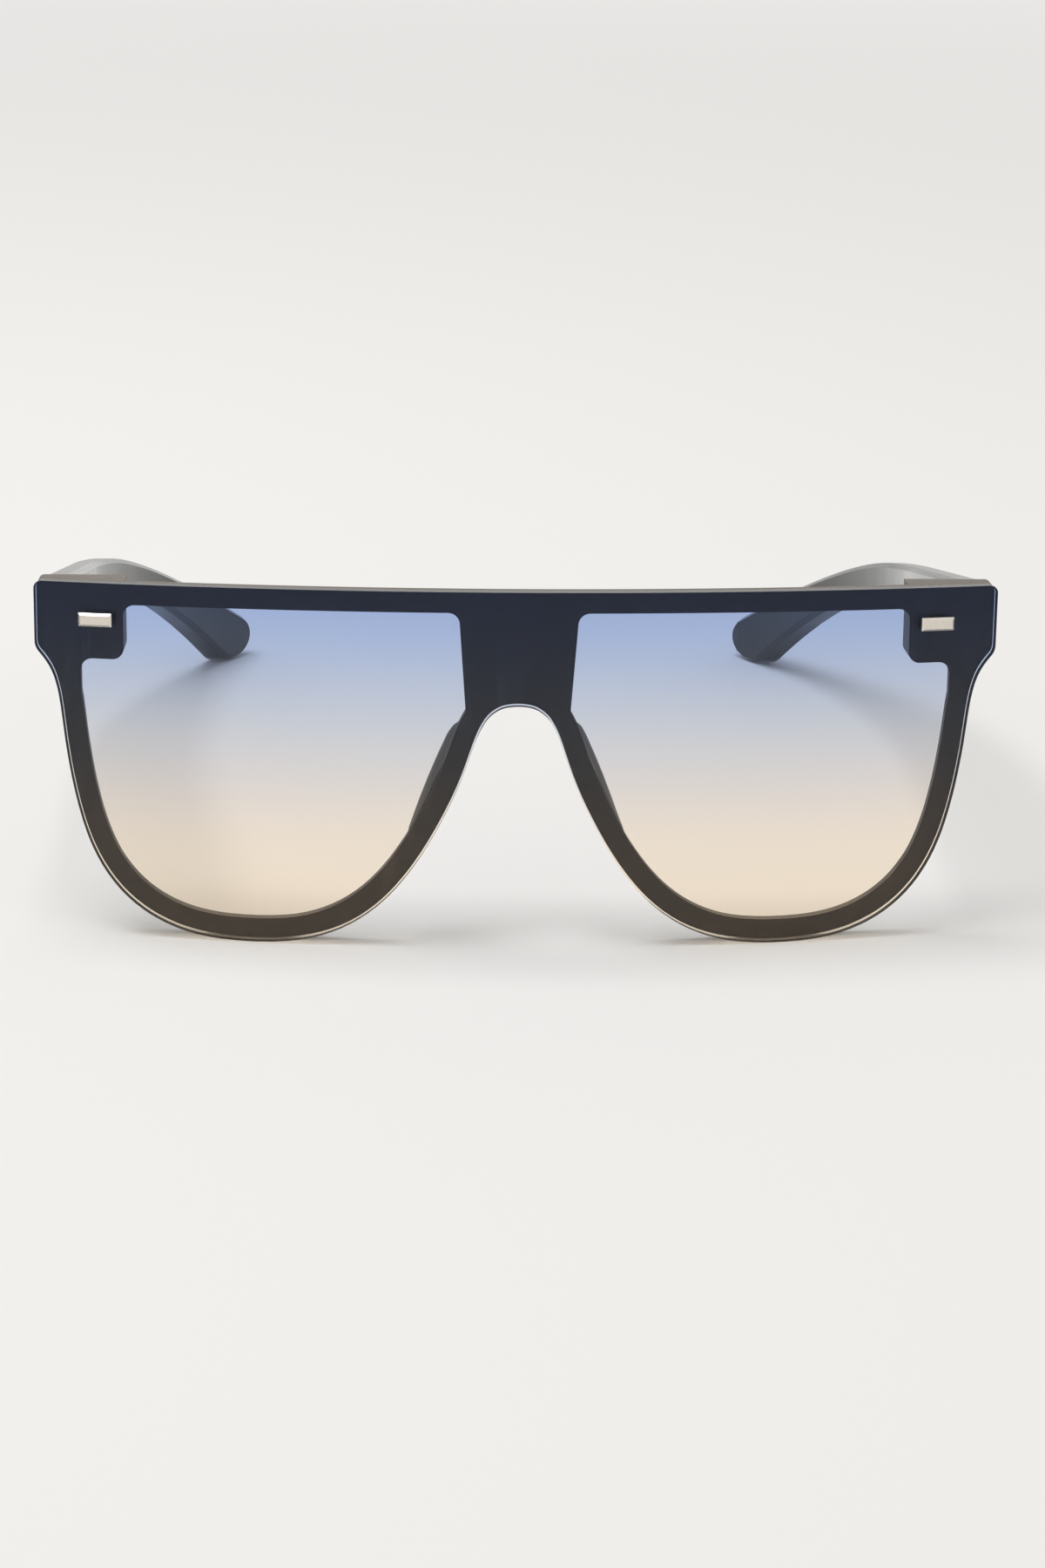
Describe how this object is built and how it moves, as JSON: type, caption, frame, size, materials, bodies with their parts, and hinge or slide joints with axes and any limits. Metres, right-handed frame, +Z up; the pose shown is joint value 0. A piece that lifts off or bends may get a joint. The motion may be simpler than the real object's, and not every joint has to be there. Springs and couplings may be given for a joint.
{
  "type": "flat top sunglasses",
  "caption": "Flat top shield sunglasses: a wrapped gradient lens over a moulded frame with nose pads, and temples that fold on metal hinges.",
  "frame": {"origin": "on the table, midway between the foremost point of the lens and the rearmost point of the temples, in the middle of the width", "axes": "+X towards the wearer's left, +Y back along the open temples, +Z up, as the open glasses stand on a table on the lens's two lowest edges and the temple tips"},
  "size_m": [0.1496, 0.1545, 0.0558],
  "materials": {
    "frame": "satin charcoal moulding",
    "temple": "fine matte charcoal moulding",
    "lens": "polished, tinted from blue grey at the top to peach at the bottom",
    "plaque": "satin champagne metal",
    "hinge": "satin nickel",
    "screw": "polished steel"
  },
  "bodies": {
    "front": {"front_frame": "frame", "shield_lens": "lens", "front_plaque_left": "plaque", "front_plaque_right": "plaque", "hinge_front_leaf_left": "hinge", "hinge_front_leaf_right": "hinge", "hinge_screw_left": "screw", "hinge_screw_right": "screw"},
    "temple_arm_left": {"temple_left": "temple", "hinge_temple_leaf_left": "hinge"},
    "temple_arm_right": {"temple_right": "temple", "hinge_temple_leaf_right": "hinge"}
  },
  "joints": [
    {"name": "temple_left_fold", "type": "hinge", "parent": "front", "child": "temple_arm_left", "pos_m": [0.06765, -0.05857, 0.04902], "axis": [0, 0.0884, 0.9961], "range_deg": [0, 84]},
    {"name": "temple_right_fold", "type": "hinge", "parent": "front", "child": "temple_arm_right", "pos_m": [-0.06765, -0.05857, 0.04902], "axis": [0, -0.0884, -0.9961], "range_deg": [0, 75]}
  ]
}
